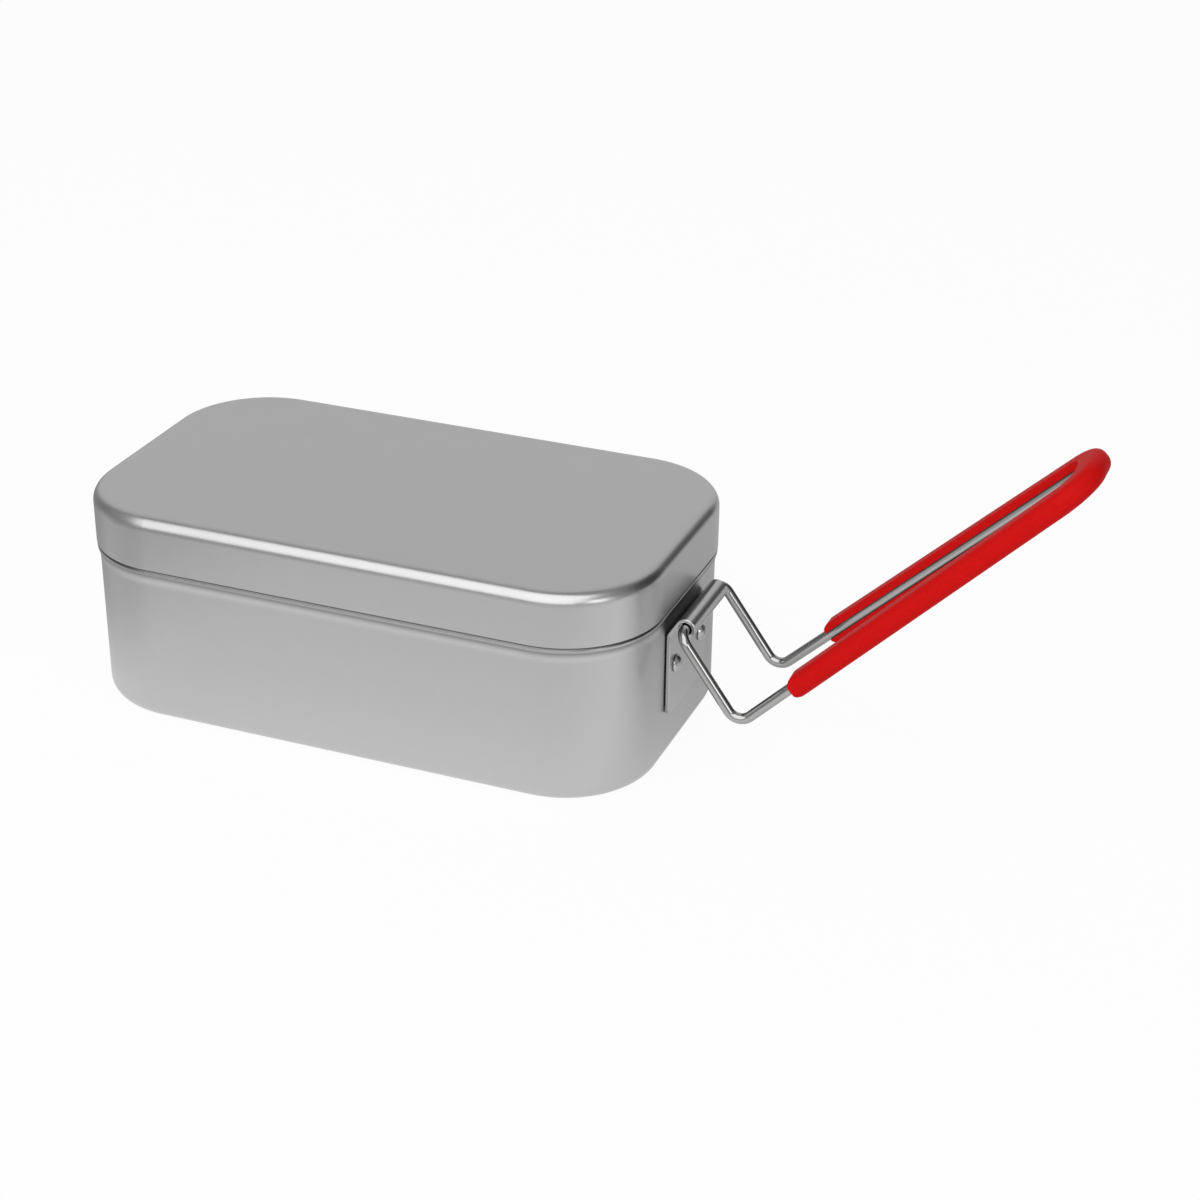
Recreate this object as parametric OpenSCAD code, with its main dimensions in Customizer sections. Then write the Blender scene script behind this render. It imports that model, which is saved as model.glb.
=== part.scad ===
// Lunch box of pressed aluminium: a deep drawn pan, a slip-on lid, and a wire handle with a
// plastic grip that swings in a rolled bracket on one end wall.
// Millimetres. The origin is the centre of the pan's underside, +Z is up and +X points to the handle.

/* [Pan] */
// Length of the pan over its outer walls
pan_length = 168.4; // [150:0.2:200]
// Width of the pan over its outer walls
pan_width = 94.8; // [86:0.2:110]
// Height of the pan's rim above its underside
rim_height = 60.3; // [56:0.1:66]
// Plan radius of the pan's outer corners
corner_radius = 27; // [20:0.5:29]
// Sheet thickness of the pan
pan_sheet = 0.8; // [0.6:0.05:1.1]
// Outer radius of the bend between floor and wall
pan_bend = 4.5; // [3:0.1:7]

/* [Stop bead] */
// Height of the bead's widest line
bead_height = 46.5; // [44:0.1:49]
// How far the bead stands out of the wall
bead_out = 0.7; // [0.5:0.05:0.9]
// Slope of the wall's flare up to the bead
flare_angle = 16; // [12:0.5:18]
// Bend radius where the wall starts to flare
flare_radius = 9; // [6:0.5:10]
// Bend radius of the step back from bead to neck
step_radius = 1.05; // [0.95:0.05:1.2]
// Straight run between the two bends of that step
step_flat = 0.1; // [0.08:0.02:0.3]
// How far the neck is set back from the wall
neck_in = 0.35; // [0.2:0.05:0.5]

/* [Lid] */
// Height of the lid over all
lid_height = 15.4; // [14:0.1:20]
// Sheet thickness of the lid
lid_sheet = 0.8; // [0.6:0.05:1.1]
// Outer radius of the bend between top and skirt
lid_bend = 3.6; // [2.5:0.1:6]
// Clearance between the skirt and the pan's neck
lid_gap = 0.35; // [0.3:0.05:0.5]
// Clearance between the skirt's edge and the bead
seat_gap = 0.2; // [0.15:0.05:0.4]

/* [Bracket] */
// Width of the bracket along the end wall
bracket_width = 27.6; // [24:0.2:27.6]
// Height of the plate's lower edge
plate_bottom = 19; // [14:0.5:22]
// Radius of the plate's lower corners
plate_corner = 2; // [1:0.5:4]
// Sheet thickness of the bracket
bracket_sheet = 1.3; // [1:0.1:1.5]
// Gap that the plate keeps to the wall beside its rivets
plate_gap = 0.25; // [0:0.05:0.4]
// Angle at which the sheet leaves the wall
fold_angle = 45; // [35:1:55]
// Centre-line radius of that fold
fold_radius = 1.5; // [1:0.1:2]
// Turn of the rolled edge round the wire
curl_turn = 245; // [220:5:250]
// Distance of the hinge axis from the wall
hinge_out = 4.9; // [4.6:0.1:6]
// Height of the hinge axis
hinge_height = 42.2; // [40:0.1:43]
// Radial clearance of the wire in the rolled edge
hinge_clearance = 0.25; // [0.1:0.05:0.3]

/* [Rivets] */
// Distance between the two rivets
rivet_spacing = 20; // [16:0.5:21]
// Height of the rivets
rivet_height = 29.5; // [26:0.5:34]
// Diameter of a rivet's shank
rivet_shank = 3.2; // [2.4:0.1:3.6]
// Diameter of the domed head
rivet_head = 5.2; // [4.6:0.1:6]
// Height of the domed head
rivet_dome = 1.6; // [1:0.1:2.2]
// Height of the flat head inside the pan
rivet_tail = 0.9; // [0.5:0.1:1.2]
// Clearance of the shanks in their holes
rivet_clearance = 0.05; // [0.02:0.01:0.1]

/* [Wire handle] */
// Diameter of the wire
wire_d = 3; // [2.6:0.1:3.2]
// Distance between the wire's arms at the hinge and at the knees
arm_spacing = 34.8; // [33:0.2:37]
// Distance between the wire's arms at the nose
nose_spacing = 18.2; // [16.8:0.2:22]
// Length of a short arm, from the hinge axis to the knee
short_arm = 29.4; // [25:0.2:34]
// Length of the long loop, from the knees to the nose
long_arm = 119; // [90:1:130]
// Angle of the short arms out from straight down
short_angle = 35.7; // [30:0.1:40]
// Angle of the long loop above level
long_angle = 44.3; // [40:0.1:50]
// Length of a foot inside the rolled edge, past the bend's sharp corner
foot_length = 14.2; // [8:0.1:16]
// Centre-line radius of the foot bends
foot_bend = 3.5; // [3:0.1:4]
// Centre-line radius of the knee bends
knee_bend = 4; // [3:0.1:7]
// Centre-line radius of the two nose bends
nose_bend = 7; // [6.5:0.1:7.5]

/* [Grip] */
// Distance from the knees to the grip's ends
grip_start = 19.6; // [12:0.2:40]
// Grip beyond the wire's centre line, on the outside of the loop
grip_outer = 5.5; // [4:0.1:6]
// Grip beyond the wire's centre line, on the inside of the loop
grip_inner = 5.2; // [3:0.1:5.4]
// Thickness of the grip across the loop's plane
grip_thick = 5.6; // [5:0.1:7]
// Radius of the grip's long edges
grip_round = 1.3; // [0.6:0.1:1.6]
// Radius of the corners at the grip's ends
end_round = 2.4; // [1:0.1:3]
// Width of the snap-on mouth towards the inside of the loop
grip_mouth = 2.8; // [2.2:0.1:2.8]
// Clearance between the grip's groove and the wire
grip_fit = 0.05; // [0.02:0.01:0.1]

/* [Hidden] */
$fn = 64;

aluminium = [0.72, 0.72, 0.73];
steel = [0.60, 0.60, 0.61];
red_plastic = [0.80, 0.07, 0.07];

// Room that a cutting tool has past the faces it cuts
over = 1;
// Largest wedge that one quadrilateral of a bend's sector mask spans
wedge = 45;
// Arc length by which a bend laps into the straight pieces beside it, so that they join into one solid
lap = 0.02;
// Extra thickness on each side of a bend, so that none of its faces lies in a straight piece's face
swell = 0.005;

// Pan profile: the bead's step is two equal bends and a short flat that end level with the neck
step_diagonal = norm([2 * step_radius, step_flat]);
step_angle = acos((2 * step_radius - bead_out - neck_in) / step_diagonal) - atan(step_flat / (2 * step_radius));
step_rise = 2 * step_radius * sin(step_angle) + step_flat * cos(step_angle);
flare_run = (bead_out - (flare_radius + step_radius) * (1 - cos(flare_angle))) / sin(flare_angle);
flare_rise = (flare_radius + step_radius) * sin(flare_angle) + flare_run * cos(flare_angle);
wall_run = bead_height - pan_bend - flare_rise;
neck_run = rim_height - bead_height - step_rise;
wall_x = pan_length / 2;

// Lid: its skirt slips over the neck and its edge stops just above the bead's rounded shoulder
skirt_inside = lid_gap - neck_in;
lid_out = skirt_inside + lid_sheet;
shoulder = step_radius + pan_sheet / 2;
shoulder_reach = skirt_inside - bead_out + shoulder;
seat_rise = sqrt(pow(shoulder, 2) - pow(shoulder_reach, 2));
lid_edge = bead_height + seat_rise + seat_gap;
lid_top = lid_edge + lid_height;

// Hinge
hinge_x = wall_x + hinge_out;
curl_radius = wire_d / 2 + hinge_clearance + bracket_sheet / 2;
fold_out = fold_radius * (1 - cos(fold_angle));
slope_reach = hinge_out - plate_gap - bracket_sheet / 2 - fold_out - curl_radius * cos(fold_angle);
slope_run = slope_reach / sin(fold_angle);
fold_rise = fold_radius * sin(fold_angle) + slope_run * cos(fold_angle);
plate_run = hinge_height - plate_bottom - fold_rise + curl_radius * sin(fold_angle);

// Handle: a plane through both knees and the nose carries the long loop
hinge = [hinge_x, 0, hinge_height];
knee = hinge + short_arm * [sin(short_angle), 0, -cos(short_angle)];
long_dir = [cos(long_angle), 0, sin(long_angle)];
plane_normal = [-sin(long_angle), 0, cos(long_angle)];
arm_out = arm_spacing / 2;
nose_out = nose_spacing / 2;
taper = atan((arm_out - nose_out) / long_arm);
nose_turn = 90 - taper;
nose_tangent = nose_bend * tan(nose_turn / 2);
arm_run = long_arm / cos(taper) - nose_tangent;
grip_begin = grip_start / cos(taper);

// ---------- vectors ----------

function unit(v) = v / norm(v);
function turn_between(a, b) = acos(a * b / (norm(a) * norm(b)));
function lap_angle(radius) = lap / radius * 180 / PI;

// Places a shape drawn at the origin so that its axes point along x, y and z
module place(origin, x, y, z) {
    multmatrix([
        [x[0], y[0], z[0], origin[0]],
        [x[1], y[1], z[1], origin[1]],
        [x[2], y[2], z[2], origin[2]],
        [0, 0, 0, 1]
    ])
        children();
}

// ---------- bent sheet ----------

// Sector mask between two angles, as far out as reach
module sector(from, to, reach) {
    parts = ceil(abs(to - from) / wedge);
    angles = [for (i = [0:parts]) from + (to - from) * i / parts];
    polygon(concat([[0, 0]], [for (a = angles) 2 * reach * [cos(a), sin(a)]]));
}

// Ring sector of a bend: it starts at the origin heading +X and turns left for a positive turn
module bend(turn, radius, sheet) {
    side = sign(turn);
    translate([0, side * radius])
        rotate(-side * 90)
            intersection() {
                difference() {
                    circle(radius + sheet / 2 + swell);
                    circle(radius - sheet / 2 - swell);
                }
                sector(-side * lap_angle(radius), turn + side * lap_angle(radius), radius + sheet);
            }
}

// Section of a bent strip from its bend list. Each step is [straight run, turn, centre-line radius].
// The strip starts at the origin and heads +X along its centre line.
module bent_strip(steps, sheet, i = 0) {
    run = steps[i][0];
    turn = steps[i][1];
    radius = steps[i][2];
    start_lap = i == 0 ? 0 : lap;
    end_lap = turn == 0 ? 0 : lap;
    translate([-start_lap, -sheet / 2])
        square([start_lap + run + end_lap, sheet]);
    if (turn != 0)
        translate([run, 0])
            bend(turn, radius, sheet);
    if (i + 1 < len(steps))
        translate([run, sign(turn) * radius])
            rotate(turn)
                translate([0, -sign(turn) * radius])
                    bent_strip(steps, sheet, i + 1);
}

// ---------- drawn shells ----------

// Sweeps a section round the box: x is measured outwards from the pan's wall, y is height
module round_the_box() {
    straight_x = pan_length / 2 - corner_radius;
    straight_y = pan_width / 2 - corner_radius;
    quadrants = [[1, 1], [-1, 1], [-1, -1], [1, -1]];
    for (i = [0:3])
        translate([quadrants[i][0] * straight_x, quadrants[i][1] * straight_y])
            rotate(90 * i)
                rotate_extrude(angle = 90)
                    translate([corner_radius, 0])
                        children();
    for (end = [0, 180])
        rotate([0, 0, end])
            translate([pan_length / 2, 0])
                rotate([90, 0, 0])
                    linear_extrude(height = 2 * straight_y, center = true)
                        children();
    for (side = [90, 270])
        rotate([0, 0, side])
            translate([pan_width / 2, 0])
                rotate([90, 0, 0])
                    linear_extrude(height = 2 * straight_x, center = true)
                        children();
}

// Flat middle of a shell's floor or top, between the four corner axes
module middle_plate(bottom, sheet) {
    translate([0, 0, bottom + sheet / 2])
        cube([pan_length - 2 * corner_radius, pan_width - 2 * corner_radius, sheet], center = true);
}

module pan_section() {
    translate([-corner_radius, pan_sheet / 2])
        bent_strip([
            [corner_radius - pan_bend, 90, pan_bend - pan_sheet / 2],
            [wall_run, -flare_angle, flare_radius],
            [flare_run, flare_angle + step_angle, step_radius],
            [step_flat, -step_angle, step_radius],
            [neck_run, 0, 0]
        ], pan_sheet);
}

module lid_section() {
    translate([-corner_radius, lid_top - lid_sheet / 2])
        bent_strip([
            [corner_radius + lid_out - lid_bend, -90, lid_bend - lid_sheet / 2],
            [lid_height - lid_bend, 0, 0]
        ], lid_sheet);
}

// Holes for the rivet shanks, through whatever stands between the two heads
module rivet_holes() {
    for (side = [-1, 1])
        translate([wall_x - pan_sheet - over, side * rivet_spacing / 2, rivet_height])
            rotate([0, 90, 0])
                cylinder(h = pan_sheet + plate_gap + bracket_sheet + 2 * over, d = rivet_shank + 2 * rivet_clearance);
}

module pan() {
    color(aluminium)
        difference() {
            union() {
                round_the_box()
                    pan_section();
                middle_plate(0, pan_sheet);
            }
            rivet_holes();
        }
}

module lid() {
    color(aluminium) {
        round_the_box()
            lid_section();
        middle_plate(lid_top - lid_sheet, lid_sheet);
    }
}

// ---------- bracket ----------

// Sheet section of the bracket, with x outwards from the end wall and y as height
module bracket_section() {
    translate([plate_gap + bracket_sheet / 2, plate_bottom])
        rotate(90)
            bent_strip([
                [plate_run, -fold_angle, fold_radius],
                [slope_run, -curl_turn, curl_radius]
            ], bracket_sheet);
}

// Outline of the bracket seen from the end: a strip with two round lower corners
module bracket_blank() {
    low = plate_bottom + plate_corner;
    half = bracket_width / 2 - plate_corner;
    translate([-bracket_width / 2, low])
        square([bracket_width, hinge_height + 2 * curl_radius + over - low]);
    translate([-half, plate_bottom])
        square([2 * half, plate_corner + over]);
    for (side = [-1, 1])
        translate([side * half, low])
            circle(plate_corner);
}

module handle_bracket() {
    color(aluminium)
        difference() {
            intersection() {
                translate([wall_x, 0])
                    rotate([90, 0, 0])
                        linear_extrude(height = bracket_width, center = true)
                            bracket_section();
                translate([wall_x - over, 0, 0])
                    rotate([90, 0, 90])
                        linear_extrude(height = hinge_out + 2 * curl_radius + 2 * over)
                            bracket_blank();
            }
            rivet_holes();
        }
}

// ---------- rivets ----------

// Half section of a rivet: x is radius, y runs from the inner head's face to the dome's crown
module rivet_section() {
    grip_run = pan_sheet + plate_gap + bracket_sheet;
    dome_radius = (pow(rivet_head / 2, 2) + pow(rivet_dome, 2)) / (2 * rivet_dome);
    square([rivet_head / 2, rivet_tail]);
    square([rivet_shank / 2, rivet_tail + grip_run + rivet_dome / 2]);
    intersection() {
        translate([0, rivet_tail + grip_run + rivet_dome - dome_radius])
            circle(dome_radius);
        translate([0, rivet_tail + grip_run])
            square([rivet_head / 2, rivet_dome + over]);
    }
}

module bracket_rivets() {
    color(aluminium)
        for (side = [-1, 1])
            translate([wall_x - pan_sheet - rivet_tail, side * rivet_spacing / 2, rivet_height])
                rotate([0, 90, 0])
                    rotate_extrude()
                        rivet_section();
}

// ---------- wire ----------

// Round wire along a list of sharp corner points, with a centre-line bend radius at each corner
module bent_wire(points, radii, d) {
    last = len(points) - 1;
    tangents = [for (i = [0:last])
        i == 0 || i == last
            ? 0
            : radii[i] * tan(turn_between(points[i] - points[i - 1], points[i + 1] - points[i]) / 2)];
    for (i = [0:last - 1]) {
        along = unit(points[i + 1] - points[i]);
        run = norm(points[i + 1] - points[i]) - tangents[i] - tangents[i + 1];
        across = unit(cross(along, abs(along[1]) < 0.9 ? [0, 1, 0] : [0, 0, 1]));
        first = i == 0 ? 0 : lap;
        ends = first + (i == last - 1 ? 0 : lap);
        place(points[i] + (tangents[i] - first) * along, across, cross(along, across), along)
            cylinder(h = run + ends, d = d);
    }
    for (i = [1:last - 1]) {
        into = unit(points[i] - points[i - 1]);
        out = unit(points[i + 1] - points[i]);
        normal = unit(cross(into, out));
        inward = cross(normal, into);
        centre = points[i] - tangents[i] * into + radii[i] * inward;
        place(centre, -inward, into, normal)
            rotate(-lap_angle(radii[i]))
                rotate_extrude(angle = turn_between(into, out) + 2 * lap_angle(radii[i]))
                    translate([radii[i], 0])
                        circle(d = d + 2 * swell);
    }
}

module wire_handle() {
    nose = knee + long_arm * long_dir;
    side_arm = [0, arm_out, 0];
    side_nose = [0, nose_out, 0];
    side_foot = [0, arm_out - foot_length, 0];
    color(steel)
        bent_wire(
            [hinge - side_foot, hinge - side_arm, knee - side_arm, nose - side_nose,
             nose + side_nose, knee + side_arm, hinge + side_arm, hinge + side_foot],
            [0, foot_bend, knee_bend, nose_bend, nose_bend, knee_bend, foot_bend, 0],
            wire_d
        );
}

// ---------- grip ----------

// Snap-on channel, with x outwards from the loop and y across its plane, thicker all over by extra
module grip_section(extra = 0) {
    difference() {
        translate([-grip_inner + grip_round, -grip_thick / 2 + grip_round])
            rounded_block(grip_inner + grip_outer - 2 * grip_round, grip_thick - 2 * grip_round, grip_round + extra);
        circle(d = wire_d + 2 * (grip_fit - extra));
        translate([-grip_inner - over, extra - grip_mouth / 2])
            square([grip_inner + over, grip_mouth - 2 * extra]);
    }
}

// Rectangle with round corners, from its corner centres' spread and their radius
module rounded_block(x, y, r) {
    translate([0, -r])
        square([x, y + 2 * r]);
    translate([-r, 0])
        square([x + 2 * r, y]);
    for (i = [0, 1], j = [0, 1])
        translate([i * x, j * y])
            circle(r);
}

// One arm of the grip and its nose bend, drawn in the loop's plane with x along the loop
module half_grip() {
    // straight arm, along the tapering wire, with rounded ends in plan and from the side
    translate([0, arm_out])
        rotate(-taper)
            intersection() {
                translate([grip_begin, 0])
                    place([0, 0, 0], [0, 1, 0], [0, 0, 1], [1, 0, 0])
                        linear_extrude(height = arm_run + lap - grip_begin)
                            grip_section();
                linear_extrude(height = grip_thick + 2 * over, center = true)
                    translate([grip_begin + end_round, -grip_inner + end_round])
                        rounded_block(arm_run - grip_begin, grip_inner + grip_outer - 2 * end_round, end_round);
                rotate([90, 0, 0])
                    linear_extrude(height = 2 * (grip_inner + grip_outer), center = true)
                        translate([grip_begin + grip_round, -grip_thick / 2 + grip_round])
                            rounded_block(arm_run - grip_begin, grip_thick - 2 * grip_round, grip_round);
            }
    // nose bend
    translate([long_arm - nose_bend, nose_out - nose_tangent])
        rotate(-lap_angle(nose_bend))
            rotate_extrude(angle = nose_turn + 2 * lap_angle(nose_bend))
                translate([nose_bend, 0])
                    grip_section(swell);
}

// Straight bar between the two nose bends
module nose_bar() {
    translate([long_arm, 0])
        rotate([-90, 0, 0])
            linear_extrude(height = 2 * (nose_out - nose_tangent + lap), center = true)
                grip_section();
}

module handle_grip() {
    color(red_plastic)
        place(knee, long_dir, [0, 1, 0], plane_normal) {
            nose_bar();
            half_grip();
            mirror([0, 1, 0])
                half_grip();
        }
}

pan();
lid();
handle_bracket();
bracket_rivets();
wire_handle();
handle_grip();
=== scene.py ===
# %% [markdown]
# # A pressed aluminium lunch box
#
# The box is a deep drawn pan, a slip-on lid and a wire handle with a red plastic grip. The solids
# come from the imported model, already at their real size, so this lesson is about finish and light:
# how satin aluminium, bright wire and moulded plastic are made from shader nodes, and what they
# need around them to look like themselves. A picture could paint the scratches on, but it
# would stretch over the bends, so every finish here is a formula of the place on the piece.

import math

import bmesh
import bpy
from mathutils import Matrix, Vector


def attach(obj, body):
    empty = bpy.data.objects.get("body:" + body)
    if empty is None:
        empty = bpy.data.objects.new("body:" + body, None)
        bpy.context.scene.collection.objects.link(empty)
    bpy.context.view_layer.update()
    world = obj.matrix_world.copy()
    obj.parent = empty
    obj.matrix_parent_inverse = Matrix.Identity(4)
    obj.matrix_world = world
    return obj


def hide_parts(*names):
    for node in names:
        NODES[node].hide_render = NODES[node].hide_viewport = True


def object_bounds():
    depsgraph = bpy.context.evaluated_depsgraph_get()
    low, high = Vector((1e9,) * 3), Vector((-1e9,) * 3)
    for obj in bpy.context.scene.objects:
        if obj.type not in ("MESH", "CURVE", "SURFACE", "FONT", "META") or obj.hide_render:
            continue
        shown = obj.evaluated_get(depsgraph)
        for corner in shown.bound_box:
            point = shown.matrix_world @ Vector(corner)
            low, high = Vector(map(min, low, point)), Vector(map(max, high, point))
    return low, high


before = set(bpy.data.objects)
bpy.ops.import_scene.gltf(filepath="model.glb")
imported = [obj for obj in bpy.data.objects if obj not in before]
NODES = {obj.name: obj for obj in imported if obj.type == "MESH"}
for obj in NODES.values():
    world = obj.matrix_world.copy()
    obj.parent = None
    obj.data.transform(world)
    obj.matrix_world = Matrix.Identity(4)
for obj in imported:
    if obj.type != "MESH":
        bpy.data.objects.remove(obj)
CAD_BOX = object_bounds()
print("nodes:", sorted(NODES))
print("box in mm:", [[round(1000 * v, 1) for v in corner] for corner in CAD_BOX])

# %% [markdown]
# ## The camera
#
# A packshot camera looks at the box from the front right and from above. A long lens keeps the two
# long edges of the lid nearly parallel. The camera could be placed by hand, but it is easier to say
# where it looks and from which side: a target point, two angles and a distance give its place, and
# three perpendicular directions give its turn.

# %% Camera
MM = 0.001
TARGET = Vector((59.1, 0.0, 38.9)) * MM
CAMERA_TURN = math.radians(21.3)
CAMERA_HEIGHT = math.radians(26.94)
CAMERA_ROLL = math.radians(0.64)
CAMERA_DISTANCE = 690.5 * MM
LENS = 74.24
SENSOR = 36.0
NEAREST, FARTHEST = 0.01, 50.0

toward_camera = Vector((
    math.sin(CAMERA_TURN) * math.cos(CAMERA_HEIGHT),
    -math.cos(CAMERA_TURN) * math.cos(CAMERA_HEIGHT),
    math.sin(CAMERA_HEIGHT),
))
level_right = Vector((math.cos(CAMERA_TURN), math.sin(CAMERA_TURN), 0.0))
level_up = toward_camera.cross(level_right)
right = math.cos(CAMERA_ROLL) * level_right + math.sin(CAMERA_ROLL) * level_up
up = math.cos(CAMERA_ROLL) * level_up - math.sin(CAMERA_ROLL) * level_right

camera_data = bpy.data.cameras.new("packshot_camera")
camera_data.lens = LENS
camera_data.sensor_width = SENSOR
camera_data.clip_start = NEAREST
camera_data.clip_end = FARTHEST
camera = bpy.data.objects.new("packshot_camera", camera_data)
bpy.context.scene.collection.objects.link(camera)
turn = Matrix((right, up, toward_camera)).transposed()
camera.matrix_world = Matrix.Translation(TARGET + CAMERA_DISTANCE * toward_camera) @ turn.to_4x4()
bpy.context.scene.camera = camera
print("camera at", [round(v, 3) for v in camera.location])

# %% [markdown]
# ## Helpers for shader nodes
#
# A material is a small network of nodes. Writing each node in one call, with its inputs by name,
# keeps the network readable as a list of steps.

# %% Node helper
# The colour sockets of a mix node
MIX_A, MIX_B, MIX_RESULT = 6, 7, 2


def add(tree, kind, inputs=None, **settings):
    """One node in the tree. Inputs are values, or sockets of other nodes to be linked."""
    node = tree.nodes.new(kind)
    for key, value in settings.items():
        setattr(node, key, value)
    for key, value in (inputs or {}).items():
        socket = node.inputs[key]
        if isinstance(value, bpy.types.NodeSocket):
            tree.links.new(value, socket)
        else:
            socket.default_value = value
    return node


def ramp(tree, value, stops):
    """A colour ramp in grey: stops is a list of (place, brightness)."""
    node = add(tree, "ShaderNodeValToRGB", {"Fac": value})
    elements = node.color_ramp.elements
    while len(elements) < len(stops):
        elements.new(0.5)
    for element, (place, grey) in zip(elements, stops):
        element.position = place
        element.color = (grey, grey, grey, 1.0)
    return node.outputs["Color"]


def multiplied(tree, first, second):
    """The product of two colours or greys."""
    mix = add(tree, "ShaderNodeMix", {"Factor": 1.0}, data_type="RGBA", blend_type="MULTIPLY")
    tree.links.new(first, mix.inputs[MIX_A])
    tree.links.new(second, mix.inputs[MIX_B])
    return mix.outputs[MIX_RESULT]


def group(name, inputs, outputs):
    """An empty shader node group with named sockets, and its two end nodes."""
    tree = bpy.data.node_groups.new(name, "ShaderNodeTree")
    for socket, kind, default in inputs:
        made = tree.interface.new_socket(socket, in_out="INPUT", socket_type=kind)
        made.default_value = default
    for socket, kind in outputs:
        tree.interface.new_socket(socket, in_out="OUTPUT", socket_type=kind)
    return tree, tree.nodes.new("NodeGroupInput"), tree.nodes.new("NodeGroupOutput")


def use(tree, shared, **inputs):
    """Places a shared node group in a material, with its own values."""
    node = tree.nodes.new("ShaderNodeGroup")
    node.node_tree = shared
    for key, value in inputs.items():
        socket = node.inputs[key.replace("_", " ")]
        if isinstance(value, bpy.types.NodeSocket):
            tree.links.new(value, socket)
        else:
            socket.default_value = value
    return node


print("helpers ready")

# %% [markdown]
# ## Shared effect: fine grain
#
# Etched and tumbled aluminium has a grain finer than a hair. It could be real geometry, but at a
# few microns deep it only bends the light, so it is a height for a bump. Two noises of different
# size keep it from looking like a pattern. Stretch makes the grain run in lines along one axis.

# %% Fine grain group
VECTOR, FLOAT = "NodeSocketVector", "NodeSocketFloat"
COARSE_SHARE = 0.09

FINE_GRAIN, start, end = group(
    "fine_grain",
    [("Place", VECTOR, (0, 0, 0)), ("Stretch", VECTOR, (1, 1, 1)), ("Scale", FLOAT, 1500.0)],
    [("Height", FLOAT), ("Mottle", FLOAT)],
)
stretched = add(FINE_GRAIN, "ShaderNodeVectorMath",
                {0: start.outputs["Place"], 1: start.outputs["Stretch"]}, operation="MULTIPLY")
fine = add(FINE_GRAIN, "ShaderNodeTexNoise",
           {"Vector": stretched.outputs[0], "Scale": start.outputs["Scale"], "Detail": 3.0})
coarse_scale = add(FINE_GRAIN, "ShaderNodeMath",
                   {0: start.outputs["Scale"], 1: COARSE_SHARE}, operation="MULTIPLY")
coarse = add(FINE_GRAIN, "ShaderNodeTexNoise",
             {"Vector": stretched.outputs[0], "Scale": coarse_scale.outputs[0], "Detail": 4.0})
FINE_GRAIN.links.new(fine.outputs["Fac"], end.inputs["Height"])
FINE_GRAIN.links.new(coarse.outputs["Fac"], end.inputs["Mottle"])
print("fine_grain has", len(FINE_GRAIN.nodes), "nodes")

# %% [markdown]
# ## Shared effect: handling marks
#
# A tin that has been stacked, washed and packed carries a few short hairline scuffs. Each is a thin
# crest of a strongly stretched noise. Real scratches could be drawn one by one, but a threshold on
# noise gives hundreds that never repeat. The mask is white on a scuff and black elsewhere.

# %% Handling marks group
MARK_AXIS = (0.3, 0.2, 0.93)
MARK_STRETCH = (60.0, 1500.0, 400.0)
PATCH_SCALE = 45.0
CREST_FROM, CREST_TO = 0.66, 0.74
PATCH_FROM, PATCH_TO = 0.52, 0.66

HANDLING, start, end = group(
    "handling_marks",
    [("Place", VECTOR, (0, 0, 0)), ("Turn", FLOAT, 0.5), ("Amount", FLOAT, 0.5)],
    [("Mask", FLOAT)],
)
turned = add(HANDLING, "ShaderNodeVectorRotate",
             {"Vector": start.outputs["Place"], "Angle": start.outputs["Turn"], "Axis": MARK_AXIS})
lengthened = add(HANDLING, "ShaderNodeVectorMath",
                 {0: turned.outputs[0], 1: MARK_STRETCH}, operation="MULTIPLY")
crest = add(HANDLING, "ShaderNodeTexNoise",
            {"Vector": lengthened.outputs[0], "Scale": 1.0, "Detail": 2.0})
patches = add(HANDLING, "ShaderNodeTexNoise",
              {"Vector": start.outputs["Place"], "Scale": PATCH_SCALE, "Detail": 1.0})
thin = add(HANDLING, "ShaderNodeMapRange",
           {"Value": crest.outputs["Fac"], "From Min": CREST_FROM, "From Max": CREST_TO})
here = add(HANDLING, "ShaderNodeMapRange",
           {"Value": patches.outputs["Fac"], "From Min": PATCH_FROM, "From Max": PATCH_TO})
both = add(HANDLING, "ShaderNodeMath", {0: thin.outputs[0], 1: here.outputs[0]}, operation="MULTIPLY")
scaled = add(HANDLING, "ShaderNodeMath", {0: both.outputs[0], 1: start.outputs["Amount"]},
             operation="MULTIPLY", use_clamp=True)
HANDLING.links.new(scaled.outputs[0], end.inputs["Mask"])
print("handling_marks has", len(HANDLING.nodes), "nodes")

# %% [markdown]
# ## Satin aluminium of the pan and the lid
#
# After drawing, the shells are etched and lightly tumbled, which leaves a satin skin: a mirror with
# soft edges. A metal has no colour of its own under the light, only a tint on what it reflects, so
# the tint is a middle grey and the roughness decides how soft the reflections are. The drawing
# also leaves faint upright streaks, made here by a roughness that varies in lines along Z.
#
# The bead stands out less than a millimetre, and this room alone draws only a light line along it.
# The real bead shows dark lines too, so a ring of greys over the height multiplies the pan's tint
# there: painted shade along the bead and in the gap under the lid's edge, and a faint painted
# highlight a little lower down. It is a shortcut: painted in like this, the lines stay the same
# when the light moves.

# %% Satin aluminium
SATIN_DARK, SATIN_LIGHT = (0.525, 0.525, 0.528), (0.545, 0.545, 0.547)
SATIN_SMOOTH, SATIN_ROUGH = 0.28, 0.32
# Painted shade and highlight: greys over the height that multiply the pan's tint.
BEAD_PAINTED_SHADE_AND_HIGHLIGHT = [
    (43.2, 1.0), (43.9, 1.06), (44.6, 1.0), (45.1, 0.88), (45.5, 0.72), (45.9, 0.58), (46.3, 0.52),
    (46.55, 0.95), (46.9, 1.0), (47.1, 0.35), (47.6, 0.3), (48.2, 1.0),
]


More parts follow.
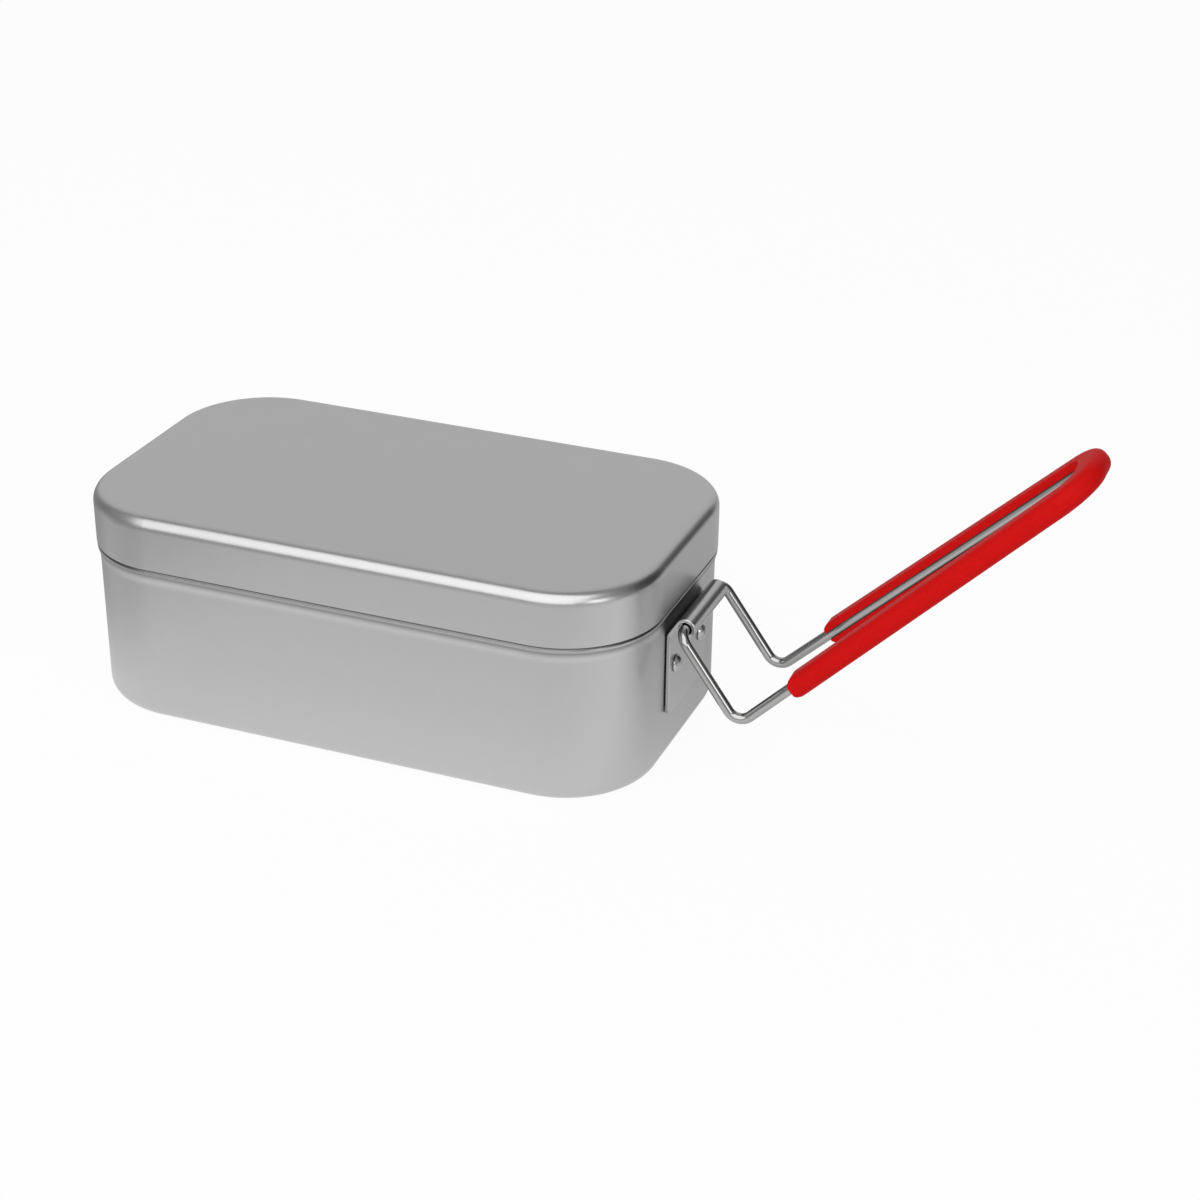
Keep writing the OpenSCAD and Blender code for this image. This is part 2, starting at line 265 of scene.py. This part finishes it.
def new_material(name):
    material = bpy.data.materials.new(name)
    material.use_nodes = True
    tree = material.node_tree
    tree.nodes.clear()
    output = tree.nodes.new("ShaderNodeOutputMaterial")
    shader = tree.nodes.new("ShaderNodeBsdfPrincipled")
    tree.links.new(shader.outputs[0], output.inputs["Surface"])
    place = tree.nodes.new("ShaderNodeTexCoord").outputs["Object"]
    return material, tree, shader, place


def tinted(tree, shader, factor, low, high):
    """Feeds Base Color from a mix of two colours."""
    mix = add(tree, "ShaderNodeMix", {"Factor": factor}, data_type="RGBA")
    mix.inputs[MIX_A].default_value = (*low, 1.0)
    mix.inputs[MIX_B].default_value = (*high, 1.0)
    tree.links.new(mix.outputs[MIX_RESULT], shader.inputs["Base Color"])


def shaded(tree, shader, share):
    """Multiplies what feeds Base Color by a grey."""
    colour = shader.inputs["Base Color"].links[0].from_socket
    tree.links.new(multiplied(tree, colour, share), shader.inputs["Base Color"])


def rough_between(tree, shader, value, low, high, marks, mark_step):
    """Feeds Roughness from a 0..1 value, rougher where there are handling marks."""
    spread = add(tree, "ShaderNodeMapRange", {"Value": value, "From Min": 0.3, "From Max": 0.7,
                                              "To Min": low, "To Max": high})
    rougher = add(tree, "ShaderNodeMath", {0: marks, 1: mark_step, 2: spread.outputs[0]},
                  operation="MULTIPLY_ADD")
    tree.links.new(rougher.outputs[0], shader.inputs["Roughness"])


def bumped(tree, shader, height, distance, strength):
    """Feeds Normal from a height. Distance is in metres."""
    bump = add(tree, "ShaderNodeBump", {"Height": height, "Distance": distance, "Strength": strength})
    tree.links.new(bump.outputs[0], shader.inputs["Normal"])


def satin_aluminium(name, turn, ring=None):
    """Ring is a list of (height in mm, share of the brightness) from the underside up: painted shade and
    highlight in lines over the height.
    """
    material, tree, shader, place = new_material(name)
    shader.inputs["Metallic"].default_value = 1.0
    grain = use(tree, FINE_GRAIN, Place=place, Stretch=(1.0, 1.0, 1.0), Scale=2600.0)
    streaks = use(tree, FINE_GRAIN, Place=place, Stretch=(1.0, 1.0, 0.06), Scale=700.0)
    marks = use(tree, HANDLING, Place=place, Turn=turn, Amount=0.35)
    tinted(tree, shader, grain.outputs["Mottle"], SATIN_DARK, SATIN_LIGHT)
    # Painted shade and highlight in lines over the height.
    if ring:
        bottom, top = ring[0][0], ring[-1][0]
        height = add(tree, "ShaderNodeSeparateXYZ", {0: place}).outputs["Z"]
        level = add(tree, "ShaderNodeMapRange",
                    {"Value": height, "From Min": MM * bottom, "From Max": MM * top})
        stops = [((z - bottom) / (top - bottom), share) for z, share in ring]
        shaded(tree, shader, ramp(tree, level.outputs[0], stops))
    rough_between(tree, shader, streaks.outputs["Mottle"], SATIN_SMOOTH, SATIN_ROUGH,
                  marks.outputs["Mask"], 0.12)
    bumped(tree, shader, grain.outputs["Height"], 0.01 * MM, 0.3)
    return material


pan_skin = satin_aluminium("pan_satin", 0.5, BEAD_PAINTED_SHADE_AND_HIGHLIGHT)
lid_skin = satin_aluminium("lid_satin", 2.1)
print("satin aluminium for pan and lid")

# %% [markdown]
# ## Mill finish of the bracket and the rivets
#
# The bracket is cut from rolled sheet that nobody polishes, so its grain runs along the roll and it
# is a little darker and glossier than the etched shells. The rivets are upset cold: their heads are
# bright, with tool marks.

# %% Rolled sheet and rivets
def rolled_sheet(name, stretch, low, high, smooth, rough):
    material, tree, shader, place = new_material(name)
    shader.inputs["Metallic"].default_value = 1.0
    lines = use(tree, FINE_GRAIN, Place=place, Stretch=stretch, Scale=2200.0)
    marks = use(tree, HANDLING, Place=place, Turn=1.2, Amount=0.8)
    tinted(tree, shader, lines.outputs["Mottle"], low, high)
    rough_between(tree, shader, lines.outputs["Mottle"], smooth, rough, marks.outputs["Mask"], 0.15)
    bumped(tree, shader, lines.outputs["Height"], 0.03 * MM, 0.4)
    return material


bracket_skin = rolled_sheet("bracket_rolled", (1.0, 0.05, 1.0),
                            (0.50, 0.50, 0.505), (0.58, 0.58, 0.585), 0.20, 0.30)
rivet_skin = rolled_sheet("rivet_upset", (1.0, 1.0, 1.0),
                          (0.50, 0.50, 0.50), (0.60, 0.60, 0.60), 0.16, 0.26)
print("rolled sheet and rivets")

# %% [markdown]
# ## Bright wire of the handle
#
# The handle is drawn steel wire with a bright plating. It is nearly a mirror, so it shows the dark
# and light parts of the room as long streaks. A trace of draw lines keeps it from looking like
# glass. Where it lies in the grip, real wire mirrors the dark groove. Here the grip is left out of
# reflections, as its own step says, so an occlusion node paints the wire darker there instead: a
# painted shade in place of that dark reflection, where another surface is within a few millimetres.
# It gives softer lines than the reflection would.

# %% Bright wire
HOLLOW_REACH = 3 * MM
WIRE_DARK, WIRE_LIGHT = (0.40, 0.395, 0.392), (0.47, 0.465, 0.46)


def painted_shade_in_hollows(tree, shader, closed, clear, darkest):
    """Painted shade: darkens Base Color between two levels of openness, down to the darkest share."""
    openness = add(tree, "ShaderNodeAmbientOcclusion", {"Distance": HOLLOW_REACH}, samples=8)
    share = add(tree, "ShaderNodeMapRange", {"Value": openness.outputs["AO"], "From Min": closed,
                                             "From Max": clear, "To Min": darkest, "To Max": 1.0})
    shaded(tree, shader, share.outputs[0])


def bright_wire():
    material, tree, shader, place = new_material("wire_bright")
    shader.inputs["Metallic"].default_value = 1.0
    lines = use(tree, FINE_GRAIN, Place=place, Stretch=(0.3, 1.0, 0.3), Scale=1800.0)
    marks = use(tree, HANDLING, Place=place, Turn=0.2, Amount=0.6)
    tinted(tree, shader, lines.outputs["Mottle"], WIRE_DARK, WIRE_LIGHT)
    # Painted shade inside the grip, in place of the dark groove's reflection.
    painted_shade_in_hollows(tree, shader, closed=0.35, clear=0.75, darkest=0.05)
    rough_between(tree, shader, lines.outputs["Mottle"], 0.07, 0.12, marks.outputs["Mask"], 0.15)
    bumped(tree, shader, lines.outputs["Height"], 0.01 * MM, 0.25)
    return material


wire_skin = bright_wire()
print("bright wire")

# %% [markdown]
# ## Red plastic of the grip
#
# The grip is moulded in one piece from a tough red plastic and snapped over the wire. Moulded skin
# is smooth but never flat: it has a faint orange peel and takes fine rub marks, which show in the
# highlight and not in the colour. The specular level is turned far down, which makes the skin
# nearly matt: the room's reflection would otherwise lie over the red as a grey veil. An occlusion
# node paints the red darker where another surface is within a few millimetres: painted shade.

# %% Red plastic
RED_DARK, RED_LIGHT = (0.57, 0.006, 0.006), (0.61, 0.007, 0.007)
RED_SPECULAR = 0.035


def red_plastic():
    material, tree, shader, place = new_material("grip_red")
    peel = use(tree, FINE_GRAIN, Place=place, Stretch=(1.0, 1.0, 1.0), Scale=900.0)
    marks = use(tree, HANDLING, Place=place, Turn=0.9, Amount=0.7)
    tinted(tree, shader, peel.outputs["Mottle"], RED_DARK, RED_LIGHT)
    # Painted shade where another surface is within a few millimetres.
    painted_shade_in_hollows(tree, shader, closed=0.25, clear=0.62, darkest=0.12)
    rough_between(tree, shader, peel.outputs["Mottle"], 0.40, 0.48, marks.outputs["Mask"], 0.12)
    bumped(tree, shader, peel.outputs["Height"], 0.04 * MM, 0.3)
    shader.inputs["Specular IOR Level"].default_value = RED_SPECULAR
    return material


grip_skin = red_plastic()
print("red plastic")

# %% [markdown]
# ## Bent wire and bent sheet
#
# The handle is wire bent round a few corners, and the bracket is a strip of sheet folded and rolled.
# Both are a section carried along a path. Blender's curves could do that too, but their bevel
# follows its own frame round a corner, so the rings of points are written out here: each ring is
# the section at one place on the path, and neighbouring rings are joined into a skin.

# %% Paths and rings
ARC_STEP = math.radians(6)
SHARP_ANGLE = math.radians(40)
WELD = 0.0005 * MM


def bent_path(corners, radii):
    """Places and directions along straight runs, with one bend radius for each inner corner."""
    stations = [(corners[0], (corners[1] - corners[0]).normalized())]
    for before, corner, after, bend in zip(corners, corners[1:], corners[2:], radii):
        into = (corner - before).normalized()
        out = (after - corner).normalized()
        turn = into.angle(out)
        inward = (out - into.dot(out) * into).normalized()
        centre = corner - bend * math.tan(turn / 2) * into + bend * inward
        steps = max(4, math.ceil(turn / ARC_STEP))
        for i in range(steps + 1):
            a = turn * i / steps
            stations.append((centre - bend * math.cos(a) * inward + bend * math.sin(a) * into,
                             math.cos(a) * into + math.sin(a) * inward))
    stations.append((corners[-1], (corners[-1] - corners[-2]).normalized()))
    return stations


def skin(name, rings, body, node, finish):
    """A closed solid from rings of points in millimetres. It stands for a node and rides on a body."""
    count = len(rings[0])
    points = [MM * point for ring in rings for point in ring]
    faces = []
    for low in range(0, (len(rings) - 1) * count, count):
        high = low + count
        for j in range(count):
            k = (j + 1) % count
            faces.append((low + j, low + k, high + k, high + j))
    faces.append(tuple(reversed(range(count))))
    faces.append(tuple(range((len(rings) - 1) * count, len(rings) * count)))
    mesh = bpy.data.meshes.new(name)
    mesh.from_pydata(points, [], faces)
    work = bmesh.new()
    work.from_mesh(mesh)
    bmesh.ops.remove_doubles(work, verts=work.verts, dist=WELD)
    bmesh.ops.recalc_face_normals(work, faces=work.faces)
    for face in work.faces:
        face.smooth = True
    work.to_mesh(mesh)
    work.free()
    mesh.set_sharp_from_angle(angle=SHARP_ANGLE)
    mesh.materials.append(finish)
    piece = bpy.data.objects.new(name, mesh)
    bpy.context.scene.collection.objects.link(piece)
    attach(piece, body)
    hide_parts(node)
    print(name, "has", len(mesh.polygons), "faces and stands for", node)
    return piece


print("one step round a bend is", round(math.degrees(ARC_STEP)), "degrees")

# %% [markdown]
# ## The wire loop
#
# Each foot of the wire lies in the bracket's rolled edge, the short arms drop to the knees, and the
# long arms run to the nose, a little closer together there than at the knees. Only the corner
# points and the bend radii are needed.

# %% Wire loop
HINGE = Vector((89.1, 0.0, 42.2))
SHORT_ARM, SHORT_ANGLE = 29.4, math.radians(35.7)
LONG_ARM, LONG_ANGLE = 117.1, math.radians(44.3)
WIRE, WIRE_SIDES = 3.0, 32
ARM_OUT, NOSE_OUT, FOOT = 17.4, 9.1, 14.2
FOOT_BEND, KNEE_BEND, NOSE_BEND = 3.5, 4.0, 7.0

knee = HINGE + SHORT_ARM * Vector((math.sin(SHORT_ANGLE), 0.0, -math.cos(SHORT_ANGLE)))
along = Vector((math.cos(LONG_ANGLE), 0.0, math.sin(LONG_ANGLE)))
side = Vector((0.0, 1.0, 0.0))
above = along.cross(side)
nose = knee + LONG_ARM * along
half = [HINGE + (ARM_OUT - FOOT) * side, HINGE + ARM_OUT * side,
        knee + ARM_OUT * side, nose + NOSE_OUT * side]
mirrored = [Vector((v.x, -v.y, v.z)) for v in half]


def wire_rings(stations, radius, count):
    """Round rings. Each starts at the side that the last one started at, so the skin doesn't twist."""
    rings = []
    reference = above
    for place, heading in stations:
        reference = (reference - reference.dot(heading) * heading).normalized()
        other = heading.cross(reference)
        angles = [math.tau * j / count for j in range(count)]
        rings.append([place + radius * (math.cos(a) * reference + math.sin(a) * other) for a in angles])
    return rings


bends = [FOOT_BEND, KNEE_BEND, NOSE_BEND]
loop_path = bent_path(half + mirrored[::-1], bends + bends[::-1])
loop_rings = wire_rings(loop_path, WIRE / 2, WIRE_SIDES)
wire_piece = skin("wire_loop", loop_rings, "handle", "wire_handle", wire_skin)

# %% [markdown]
# ## The snap-on grip
#
# The grip is a channel that is pushed over the wire from outside: a D-shaped section with a round
# groove and a narrow mouth towards the inside of the loop. It follows the same two nose bends. At
# its two ends the section shrinks over a few short steps, which rounds them.
#
# The grip is left out of what other surfaces reflect, which a real grip isn't. It keeps red off the
# corner of the lid and off the wire, and costs the wire its dark edges inside the groove.

# %% Grip
GRIP_START, GRIP_OUTER, GRIP_INNER, GRIP_THICK = 21.0, 5.2, 1.7, 6.2
OUTER_ROUND, LIP_ROUND, MOUTH = 2.6, 0.6, 2.3
GROOVE_GAP = 0.05
END_STEPS = (0.25, 0.45, 0.8, 1.3, 1.9, 2.6)
LIP_STEPS, ROUND_STEPS, GROOVE_STEPS = 5, 12, 20


def arc_points(x, y, radius, start, stop, steps):
    """Points on a circle's arc, in degrees."""
    angles = [math.radians(start + (stop - start) * i / steps) for i in range(steps + 1)]
    return [(x + radius * math.cos(a), y + radius * math.sin(a)) for a in angles]


top, reach = GRIP_THICK / 2, GRIP_OUTER - OUTER_ROUND
lip = LIP_ROUND - GRIP_INNER
groove = WIRE / 2 + GROOVE_GAP
mouth_angle = 180 - math.degrees(math.asin(MOUTH / 2 / groove))
section = [(-GRIP_INNER, MOUTH / 2)]
section += arc_points(lip, top - LIP_ROUND, LIP_ROUND, 180, 90, LIP_STEPS)
section += arc_points(reach, top - OUTER_ROUND, OUTER_ROUND, 90, 0, ROUND_STEPS)
section += arc_points(reach, OUTER_ROUND - top, OUTER_ROUND, 0, -90, ROUND_STEPS)
section += arc_points(lip, LIP_ROUND - top, LIP_ROUND, -90, -180, LIP_STEPS)
section += [(-GRIP_INNER, -MOUTH / 2)]
section += arc_points(0.0, 0.0, groove, -mouth_angle, mouth_angle, GROOVE_STEPS)


def grip_ring(place, heading, inset):
    """The section at one place. Inset is its distance from the grip's end, up to the edge's radius."""
    limit = top - OUTER_ROUND + math.sqrt(OUTER_ROUND ** 2 - (OUTER_ROUND - inset) ** 2)
    outward = heading.cross(above)
    return [place + x * outward + max(-limit, min(limit, y)) * above for x, y in section]


def grip_rings():
    begin = GRIP_START / LONG_ARM
    start_out = ARM_OUT + begin * (NOSE_OUT - ARM_OUT)
    first, last = [knee.lerp(nose, begin) + start_out * side * s for s in (-1, 1)]
    corners = [first, nose - NOSE_OUT * side, nose + NOSE_OUT * side, last]
    stations = bent_path(corners, [NOSE_BEND, NOSE_BEND])
    into, out = stations[0][1], stations[-1][1]
    rings = [grip_ring(first + into * s, into, s) for s in END_STEPS]
    rings += [grip_ring(place, heading, OUTER_ROUND) for place, heading in stations[1:-1]]
    rings += [grip_ring(last - out * s, out, s) for s in reversed(END_STEPS)]
    return rings


grip_piece = skin("snap_grip", grip_rings(), "handle", "handle_grip", grip_skin)
grip_piece.visible_glossy = False

# %% [markdown]
# ## The rolled bracket
#
# The bracket is one strip of sheet: a plate with round lower corners, a fold away from the wall,
# a sloping run on which it narrows, and a roll round the wire's feet. The path is walked like a
# draughtsman's pen: go straight, turn, go straight, turn.

# %% Bracket
SHEET, WALL_X, PLATE_GAP = 1.1, 84.2, 0.25
PLATE_WIDTH, CURL_WIDTH, PLATE_DROP, PLATE_CORNER = 30.4, 26.8, 26.8, 2.0
FOLD_ANGLE, FOLD_RADIUS, CURL_TURN = math.radians(32), 1.5, math.radians(285)
EDGE, CURL_GAP = 0.18, 0.25
CORNER_STEPS = (0.0, 0.15, 0.4, 0.8, 1.3)

curl_radius = WIRE / 2 + CURL_GAP + SHEET / 2
start_x = WALL_X + PLATE_GAP + SHEET / 2
slope_reach = HINGE.x - start_x - FOLD_RADIUS * (1 - math.cos(FOLD_ANGLE))
slope_reach -= curl_radius * math.cos(FOLD_ANGLE)
slope_run = slope_reach / math.sin(FOLD_ANGLE)
fold_rise = FOLD_RADIUS * math.sin(FOLD_ANGLE) + slope_run * math.cos(FOLD_ANGLE)
plate_run = PLATE_DROP - fold_rise + curl_radius * math.sin(FOLD_ANGLE)


def bracket_rings():
    rings = []
    place, heading = Vector((start_x, 0.0, HINGE.z - PLATE_DROP)), 0.0

    def ring(width):
        out = Vector((math.cos(heading), 0.0, -math.sin(heading)))
        w, t = width / 2, SHEET / 2
        outline = [(-t, EDGE - w), (EDGE - t, -w), (t - EDGE, -w), (t, EDGE - w),
                   (t, w - EDGE), (t - EDGE, w), (EDGE - t, w), (-t, w - EDGE)]
        rings.append([place + x * out + y * side for x, y in outline])

    def go(run):
        return place + run * Vector((math.sin(heading), 0.0, math.cos(heading)))

    bottom = place.copy()
    for s in (*CORNER_STEPS, PLATE_CORNER, plate_run):
        place = bottom + Vector((0.0, 0.0, s))
        cut = PLATE_CORNER - math.sqrt(PLATE_CORNER ** 2 - max(0.0, PLATE_CORNER - s) ** 2)
        ring(PLATE_WIDTH - 2 * cut)
    for turn, radius, run in ((FOLD_ANGLE, FOLD_RADIUS, slope_run), (CURL_TURN, curl_radius, 0.0)):
        steps = math.ceil(turn / ARC_STEP)
        for i in range(steps):
            chord = 2 * radius * math.sin(turn / steps / 2)
            heading += turn / steps / 2
            place = go(chord)
            heading += turn / steps / 2
            ring(PLATE_WIDTH if run else CURL_WIDTH)
        if run:
            place = go(run)
            ring(CURL_WIDTH)
    return rings


bracket_piece = skin("rolled_bracket", bracket_rings(), "tin", "handle_bracket", bracket_skin)

# %% [markdown]
# ## Finishes on the pieces
#
# The solids keep their shape, so each one only gets its finish in its material slots.

# %% Assign the finishes
FINISHES = {"pan": pan_skin, "lid": lid_skin, "bracket_rivets": rivet_skin}
for name, finish in FINISHES.items():
    slots = NODES[name].data.materials
    if not slots:
        slots.append(finish)
    for index in range(len(slots)):
        slots[index] = finish
    print(name, "gets", finish.name, "on", len(NODES[name].data.polygons), "faces")

# %% [markdown]
# ## Floor and background
#
# A packshot stands on white paper that runs up behind the object. The paper could be lit until it
# is white, but that much light would wash out the metal, so its whiteness comes from the light
# path instead: rays from the camera see paper that is white by itself, with a small part of real
# paper in it that keeps the shadow. The metal sees paper that is white in front of the box and
# falls off to grey under it, behind it and to the left: painted shade in the glow of the paper.
# These greys are chosen for the front view.

# %% Floor
PAPER = (0.90, 0.90, 0.90)
SHADOW_PART = 0.05
FLOOR_HALF = 4.0
FLOOR_GAP = 0.0001
FALL_REACH = 0.30
# Painted shade in the paper's glow that the metal sees, along Y and along X.
PAPER_PAINTED_SHADE_Y = [(0.0, 0.70), (0.28, 0.84), (0.42, 1.0), (0.50, 0.68), (0.60, 0.52), (0.75, 0.60), (1.0, 0.60)]
PAPER_PAINTED_SHADE_X = [(0.0, 0.56), (0.27, 0.70), (0.36, 1.0), (1.0, 1.0)]

floor_mesh = bpy.data.meshes.new("floor")
corners = [(x * FLOOR_HALF, y * FLOOR_HALF, 0) for x, y in ((-1, -1), (1, -1), (1, 1), (-1, 1))]
floor_mesh.from_pydata(corners, [], [(0, 1, 2, 3)])
floor = bpy.data.objects.new("floor", floor_mesh)
bpy.context.scene.collection.objects.link(floor)
floor.location.z = CAD_BOX[0].z - FLOOR_GAP


def fall_off(tree, place, axis, stops):
    """A grey that changes along one axis of the floor: painted shade in the paper that the metal sees."""
    along_axis = add(tree, "ShaderNodeMapRange",
                     {"Value": place.outputs[axis], "From Min": -FALL_REACH, "From Max": FALL_REACH})
    return ramp(tree, along_axis.outputs[0], stops)


paper = bpy.data.materials.new("paper")
paper.use_nodes = True
tree = paper.node_tree
tree.nodes.clear()
output = tree.nodes.new("ShaderNodeOutputMaterial")
real = add(tree, "ShaderNodeBsdfDiffuse", {"Color": (*PAPER, 1.0)})
place = add(tree, "ShaderNodeSeparateXYZ", {0: tree.nodes.new("ShaderNodeTexCoord").outputs["Object"]})
# Painted shade: the paper that the metal sees is darker under, behind and left of the box.
lit = multiplied(tree, fall_off(tree, place, "Y", PAPER_PAINTED_SHADE_Y), fall_off(tree, place, "X", PAPER_PAINTED_SHADE_X))
path = tree.nodes.new("ShaderNodeLightPath")
glow = add(tree, "ShaderNodeMix", {"Factor": path.outputs["Is Glossy Ray"]}, data_type="RGBA")
glow.inputs[MIX_A].default_value = (1.0, 1.0, 1.0, 1.0)
tree.links.new(lit, glow.inputs[MIX_B])
white = add(tree, "ShaderNodeEmission", {"Color": glow.outputs[MIX_RESULT], "Strength": 1.0})
seen = path.outputs["Is Camera Ray"]
for ray in ("Is Glossy Ray", "Is Transmission Ray"):
    seen = add(tree, "ShaderNodeMath", {0: seen, 1: path.outputs[ray]}, operation="MAXIMUM").outputs[0]
part = add(tree, "ShaderNodeMath", {0: seen, 1: 1.0 - SHADOW_PART}, operation="MULTIPLY")
mixed = add(tree, "ShaderNodeMixShader", {"Fac": part.outputs[0], 1: real.outputs[0], 2: white.outputs[0]})
tree.links.new(mixed.outputs[0], output.inputs["Surface"])
floor_mesh.materials.append(paper)
print("floor at", round(floor.location.z / MM, 2), "mm")

# %% [markdown]
# ## The room
#
# Metal shows the room, so the room is part of the look. The camera sees plain white, but the metal
# sees a dim grey room with one large soft light area behind the box and to the left, which the
# lid's flat top shows from the front. A dark flag on the right deepens the dark line along that end
# of the lid. Both are written as brightness over the closeness to one direction. The tones suit the
# front view: from other sides the lid shows other parts of the room, and can be much darker.

# %% World
SHEEN_SIDE = Vector((-0.32, 0.83, 0.45)).normalized()
SKY = [(0.0, 0.34), (0.45, 0.30), (0.62, 0.27), (0.72, 0.40), (0.84, 0.68), (1.0, 0.70)]
FLAG_SIDE = Vector((0.70, 0.60, 0.35)).normalized()
FLAG = [(0.0, 1.0), (0.84, 1.0), (0.93, 0.20), (1.0, 0.15)]


def toward(tree, direction, side, stops):
    """A grey over the closeness of a direction to one side of the room."""
    near = add(tree, "ShaderNodeVectorMath", {0: direction, 1: side}, operation="DOT_PRODUCT")
    return ramp(tree, near.outputs["Value"], stops)


world = bpy.data.worlds.new("studio")
bpy.context.scene.world = world
world.use_nodes = True
tree = world.node_tree
tree.nodes.clear()
output = tree.nodes.new("ShaderNodeOutputWorld")
direction = tree.nodes.new("ShaderNodeTexCoord").outputs["Generated"]
sky = multiplied(tree, toward(tree, direction, SHEEN_SIDE, SKY), toward(tree, direction, FLAG_SIDE, FLAG))
room = add(tree, "ShaderNodeBackground", {"Color": sky, "Strength": 1.0})
white = add(tree, "ShaderNodeBackground", {"Color": (1, 1, 1, 1), "Strength": 1.0})
path = tree.nodes.new("ShaderNodeLightPath")
mixed = add(tree, "ShaderNodeMixShader",
            {"Fac": path.outputs["Is Camera Ray"], 1: room.outputs[0], 2: white.outputs[0]})
tree.links.new(mixed.outputs[0], output.inputs["Surface"])
print("room gradient has", len(SKY), "stops and its dark flag", len(FLAG))

# %% [markdown]
# ## Lamps
#
# One large soft lamp stands in front and above. Its image is the bright line along the lid's front
# shoulder, and it lights the red of the grip. A small weak one on the right brightens the wire and
# the grip a little. A single lamp would nearly do.

# %% Lamps
CENTRE = (0.0, 0.0, 0.04)


def soft_lamp(name, place, width, depth, power):
    data = bpy.data.lights.new(name, "AREA")
    data.shape = "RECTANGLE"
    data.size, data.size_y = width, depth
    data.energy = power
    lamp = bpy.data.objects.new(name, data)
    bpy.context.scene.collection.objects.link(lamp)
    lamp.location = place
    lamp.rotation_euler = (Vector(CENTRE) - Vector(place)).to_track_quat("-Z", "Y").to_euler()
    print(name, "stands", round((Vector(place) - TARGET).length, 2), "m away")


soft_lamp("overhead_front", (-0.02, -0.78, 0.86), 1.7, 1.7, 12.8)
soft_lamp("side_fill", (1.1, -0.7, 0.45), 0.5, 0.5, 1.6)

# %% [markdown]
# ## View settings
#
# Standard shows each tone as the light gives it. The filmic looks roll the whites off, which would
# turn the white paper grey.

# %% View settings
bpy.context.scene.view_settings.view_transform = "Standard"
print("view transform:", bpy.context.scene.view_settings.view_transform)
